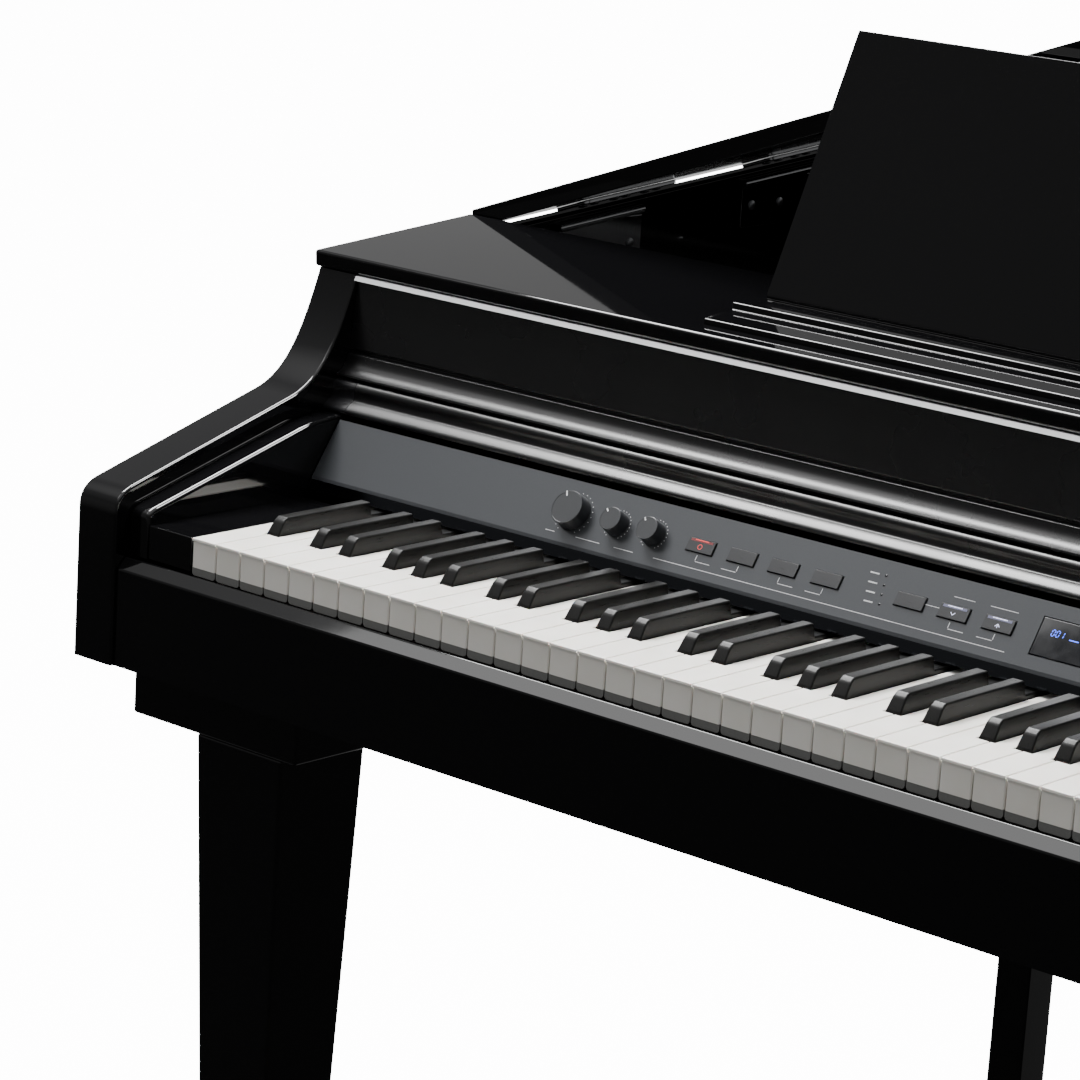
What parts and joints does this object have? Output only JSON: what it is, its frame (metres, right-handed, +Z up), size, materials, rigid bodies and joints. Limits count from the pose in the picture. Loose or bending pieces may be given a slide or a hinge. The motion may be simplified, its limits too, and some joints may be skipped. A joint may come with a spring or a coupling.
{
  "type": "digital grand piano",
  "caption": "Small digital grand piano in polished black lacquer with weighted keys, a sliding key cover, a tilting music desk, a propped lid, knobs, buttons and pedals.",
  "frame": {"origin": "on the floor, half way across the width and half way along the depth of the piano", "axes": "+Z up, -Y towards the player, +X towards the player's right, the treble end"},
  "size_m": [1.439, 0.93, 1.3932],
  "materials": {
    "black_lacquered_wood": "black polyester lacquer, polished",
    "black_painted_board": "matt black paint",
    "black_speaker_plastic": "matt moulded",
    "satin_grey_aluminium": "satin dark grey",
    "smoked_window": "smoked and glossy",
    "black_gloss_plastic": "glossy",
    "polished_chrome": "polished",
    "polished_brass": "polished",
    "dark_grey_plastic": "satin",
    "white_key_plastic": "satin ivory white",
    "black_key_plastic": "fine matt"
  },
  "bodies": {
    "case": {"case_rim": "black_lacquered_wood", "bottom_board": "black_painted_board", "inner_deck": "black_painted_board", "arm_left": "black_lacquered_wood", "arm_right": "black_lacquered_wood", "cheek_left": "black_lacquered_wood", "cheek_right": "black_lacquered_wood", "key_block_left": "black_lacquered_wood", "key_block_right": "black_lacquered_wood", "key_slip": "black_lacquered_wood", "key_frame": "black_painted_board", "upper_panel": "black_lacquered_wood", "end_cap_left": "black_gloss_plastic", "end_cap_right": "black_gloss_plastic", "top_board": "black_lacquered_wood", "desk_base": "black_lacquered_wood", "control_panel": "satin_grey_aluminium", "display_window": "smoked_window", "speaker_left": "black_speaker_plastic", "speaker_right": "black_speaker_plastic", "leg_front_left": "black_lacquered_wood", "leg_front_right": "black_lacquered_wood", "leg_rear": "black_lacquered_wood", "pedal_lyre": "black_lacquered_wood", "pedal_box": "black_lacquered_wood"},
    "lid": {"lid": "black_lacquered_wood", "lid_hinge_front": "polished_chrome", "lid_hinge_rear": "polished_chrome"},
    "prop_stick": {"prop_stick": "polished_chrome"},
    "music_desk": {"music_desk": "black_lacquered_wood"},
    "key_cover": {"key_cover": "black_lacquered_wood"},
    "pedal_left": {"pedal_left": "polished_brass"},
    "pedal_middle": {"pedal_middle": "polished_brass"},
    "pedal_right": {"pedal_right": "polished_brass"},
    "volume_knob": {"volume_knob": "dark_grey_plastic"},
    "bass_knob": {"bass_knob": "dark_grey_plastic"},
    "treble_knob": {"treble_knob": "dark_grey_plastic"},
    "record_button": {"record_button": "dark_grey_plastic"},
    "play_button": {"play_button": "dark_grey_plastic"},
    "metronome_button": {"metronome_button": "dark_grey_plastic"},
    "rhythm_button": {"rhythm_button": "dark_grey_plastic"},
    "function_button": {"function_button": "dark_grey_plastic"},
    "tempo_down_button": {"tempo_down_button": "dark_grey_plastic"},
    "tempo_up_button": {"tempo_up_button": "dark_grey_plastic"},
    "white_keys_low": {"white_keys_low": "white_key_plastic"},
    "white_keys_high": {"white_keys_high": "white_key_plastic"},
    "black_keys_low": {"black_keys_low": "black_key_plastic"},
    "black_keys_high": {"black_keys_high": "black_key_plastic"},
    "key_a": {"key_a": "white_key_plastic"},
    "key_b": {"key_b": "white_key_plastic"},
    "key_c": {"key_c": "white_key_plastic"},
    "key_d": {"key_d": "white_key_plastic"},
    "key_e": {"key_e": "white_key_plastic"},
    "key_f": {"key_f": "white_key_plastic"},
    "key_g": {"key_g": "white_key_plastic"},
    "key_a_sharp": {"key_a_sharp": "black_key_plastic"},
    "key_c_sharp": {"key_c_sharp": "black_key_plastic"},
    "key_d_sharp": {"key_d_sharp": "black_key_plastic"},
    "key_f_sharp": {"key_f_sharp": "black_key_plastic"},
    "key_g_sharp": {"key_g_sharp": "black_key_plastic"}
  },
  "joints": [
    {"name": "key_cover_slide", "type": "slide", "parent": "case", "child": "key_cover", "axis": [0, -0.9713, -0.238], "range_m": [0, 0.19]},
    {"name": "lid_hinge", "type": "hinge", "parent": "case", "child": "lid", "pos_m": [-0.7195, -0.23528, 0.86614], "axis": [0, 0.9967, 0.0816], "range_deg": [0, 19.8]},
    {"name": "prop_fold", "type": "hinge", "parent": "case", "child": "prop_stick", "pos_m": [-0.08, 0.348, 0.8143], "axis": [1, 0, 0], "range_deg": [0, 45]},
    {"name": "music_desk_tilt", "type": "hinge", "parent": "case", "child": "music_desk", "pos_m": [0, -0.14327, 0.89434], "axis": [1, 0, 0], "range_deg": [0, 22]},
    {"name": "pedal_left_press", "type": "hinge", "parent": "case", "child": "pedal_left", "pos_m": [-0.066, -0.232, 0.0815], "axis": [1, 0, 0], "range_deg": [0, 8], "stiffness_Nm_per_rad": 15, "springref_deg": -8.59},
    {"name": "pedal_middle_press", "type": "hinge", "parent": "case", "child": "pedal_middle", "pos_m": [0, -0.232, 0.0815], "axis": [1, 0, 0], "range_deg": [0, 8], "stiffness_Nm_per_rad": 15, "springref_deg": -8.59},
    {"name": "pedal_right_press", "type": "hinge", "parent": "case", "child": "pedal_right", "pos_m": [0.066, -0.232, 0.0815], "axis": [1, 0, 0], "range_deg": [0, 8], "stiffness_Nm_per_rad": 15, "springref_deg": -8.59},
    {"name": "volume_knob_turn", "type": "hinge", "parent": "case", "child": "volume_knob", "pos_m": [-0.4153, -0.27909, 0.74556], "axis": [0, -0.8288, 0.5596], "range_deg": [-177, 123]},
    {"name": "bass_knob_turn", "type": "hinge", "parent": "case", "child": "bass_knob", "pos_m": [-0.376, -0.27909, 0.74556], "axis": [0, -0.8288, 0.5596], "range_deg": [-179, 107]},
    {"name": "treble_knob_turn", "type": "hinge", "parent": "case", "child": "treble_knob", "pos_m": [-0.3433, -0.27909, 0.74556], "axis": [0, -0.8288, 0.5596], "range_deg": [-179, 114]},
    {"name": "record_button_press", "type": "slide", "parent": "case", "child": "record_button", "axis": [0, 0.8288, -0.5596], "range_m": [0, 0.001], "stiffness_N_per_m": 300, "springref_m": -0.003},
    {"name": "play_button_press", "type": "slide", "parent": "case", "child": "play_button", "axis": [0, 0.8288, -0.5596], "range_m": [0, 0.001], "stiffness_N_per_m": 300, "springref_m": -0.003},
    {"name": "metronome_button_press", "type": "slide", "parent": "case", "child": "metronome_button", "axis": [0, 0.8288, -0.5596], "range_m": [0, 0.001], "stiffness_N_per_m": 300, "springref_m": -0.003},
    {"name": "rhythm_button_press", "type": "slide", "parent": "case", "child": "rhythm_button", "axis": [0, 0.8288, -0.5596], "range_m": [0, 0.001], "stiffness_N_per_m": 300, "springref_m": -0.003},
    {"name": "function_button_press", "type": "slide", "parent": "case", "child": "function_button", "axis": [0, 0.8288, -0.5596], "range_m": [0, 0.001], "stiffness_N_per_m": 300, "springref_m": -0.003},
    {"name": "tempo_down_button_press", "type": "slide", "parent": "case", "child": "tempo_down_button", "axis": [0, 0.8288, -0.5596], "range_m": [0, 0.001], "stiffness_N_per_m": 300, "springref_m": -0.003},
    {"name": "tempo_up_button_press", "type": "slide", "parent": "case", "child": "tempo_up_button", "axis": [0, 0.8288, -0.5596], "range_m": [0, 0.001], "stiffness_N_per_m": 300, "springref_m": -0.003},
    {"name": "white_keys_low_press", "type": "hinge", "parent": "case", "child": "white_keys_low", "pos_m": [0, -0.222, 0.702], "axis": [1, 0, 0], "range_deg": [0, 2.4], "stiffness_Nm_per_rad": 34.5, "springref_deg": -17.19},
    {"name": "white_keys_high_press", "type": "hinge", "parent": "case", "child": "white_keys_high", "pos_m": [0, -0.222, 0.702], "axis": [1, 0, 0], "range_deg": [0, 2.4], "stiffness_Nm_per_rad": 33, "springref_deg": -17.19},
    {"name": "black_keys_low_press", "type": "hinge", "parent": "case", "child": "black_keys_low", "pos_m": [0, -0.222, 0.702], "axis": [1, 0, 0], "range_deg": [0, 2.4], "stiffness_Nm_per_rad": 19, "springref_deg": -17.19},
    {"name": "black_keys_high_press", "type": "hinge", "parent": "case", "child": "black_keys_high", "pos_m": [0, -0.222, 0.702], "axis": [1, 0, 0], "range_deg": [0, 2.4], "stiffness_Nm_per_rad": 18, "springref_deg": -17.19},
    {"name": "key_a_press", "type": "hinge", "parent": "case", "child": "key_a", "pos_m": [0, -0.222, 0.702], "axis": [1, 0, 0], "range_deg": [0, 2.4], "stiffness_Nm_per_rad": 1.5, "springref_deg": -17.19},
    {"name": "key_b_press", "type": "hinge", "parent": "case", "child": "key_b", "pos_m": [0, -0.222, 0.702], "axis": [1, 0, 0], "range_deg": [0, 2.4], "stiffness_Nm_per_rad": 1.5, "springref_deg": -17.19},
    {"name": "key_c_press", "type": "hinge", "parent": "case", "child": "key_c", "pos_m": [0, -0.222, 0.702], "axis": [1, 0, 0], "range_deg": [0, 2.4], "stiffness_Nm_per_rad": 1.5, "springref_deg": -17.19},
    {"name": "key_d_press", "type": "hinge", "parent": "case", "child": "key_d", "pos_m": [0, -0.222, 0.702], "axis": [1, 0, 0], "range_deg": [0, 2.4], "stiffness_Nm_per_rad": 1.5, "springref_deg": -17.19},
    {"name": "key_e_press", "type": "hinge", "parent": "case", "child": "key_e", "pos_m": [0, -0.222, 0.702], "axis": [1, 0, 0], "range_deg": [0, 2.4], "stiffness_Nm_per_rad": 1.5, "springref_deg": -17.19},
    {"name": "key_f_press", "type": "hinge", "parent": "case", "child": "key_f", "pos_m": [0, -0.222, 0.702], "axis": [1, 0, 0], "range_deg": [0, 2.4], "stiffness_Nm_per_rad": 1.5, "springref_deg": -17.19},
    {"name": "key_g_press", "type": "hinge", "parent": "case", "child": "key_g", "pos_m": [0, -0.222, 0.702], "axis": [1, 0, 0], "range_deg": [0, 2.4], "stiffness_Nm_per_rad": 1.5, "springref_deg": -17.19},
    {"name": "key_a_sharp_press", "type": "hinge", "parent": "case", "child": "key_a_sharp", "pos_m": [0, -0.222, 0.702], "axis": [1, 0, 0], "range_deg": [0, 2.4], "stiffness_Nm_per_rad": 1.2, "springref_deg": -17.19},
    {"name": "key_c_sharp_press", "type": "hinge", "parent": "case", "child": "key_c_sharp", "pos_m": [0, -0.222, 0.702], "axis": [1, 0, 0], "range_deg": [0, 2.4], "stiffness_Nm_per_rad": 1.2, "springref_deg": -17.19},
    {"name": "key_d_sharp_press", "type": "hinge", "parent": "case", "child": "key_d_sharp", "pos_m": [0, -0.222, 0.702], "axis": [1, 0, 0], "range_deg": [0, 2.4], "stiffness_Nm_per_rad": 1.2, "springref_deg": -17.19},
    {"name": "key_f_sharp_press", "type": "hinge", "parent": "case", "child": "key_f_sharp", "pos_m": [0, -0.222, 0.702], "axis": [1, 0, 0], "range_deg": [0, 2.4], "stiffness_Nm_per_rad": 1.2, "springref_deg": -17.19},
    {"name": "key_g_sharp_press", "type": "hinge", "parent": "case", "child": "key_g_sharp", "pos_m": [0, -0.222, 0.702], "axis": [1, 0, 0], "range_deg": [0, 2.4], "stiffness_Nm_per_rad": 1.2, "springref_deg": -17.19}
  ],
  "couplings": [
    {"joint": "prop_fold", "follows": "lid_hinge", "ratio": 2.27}
  ]
}
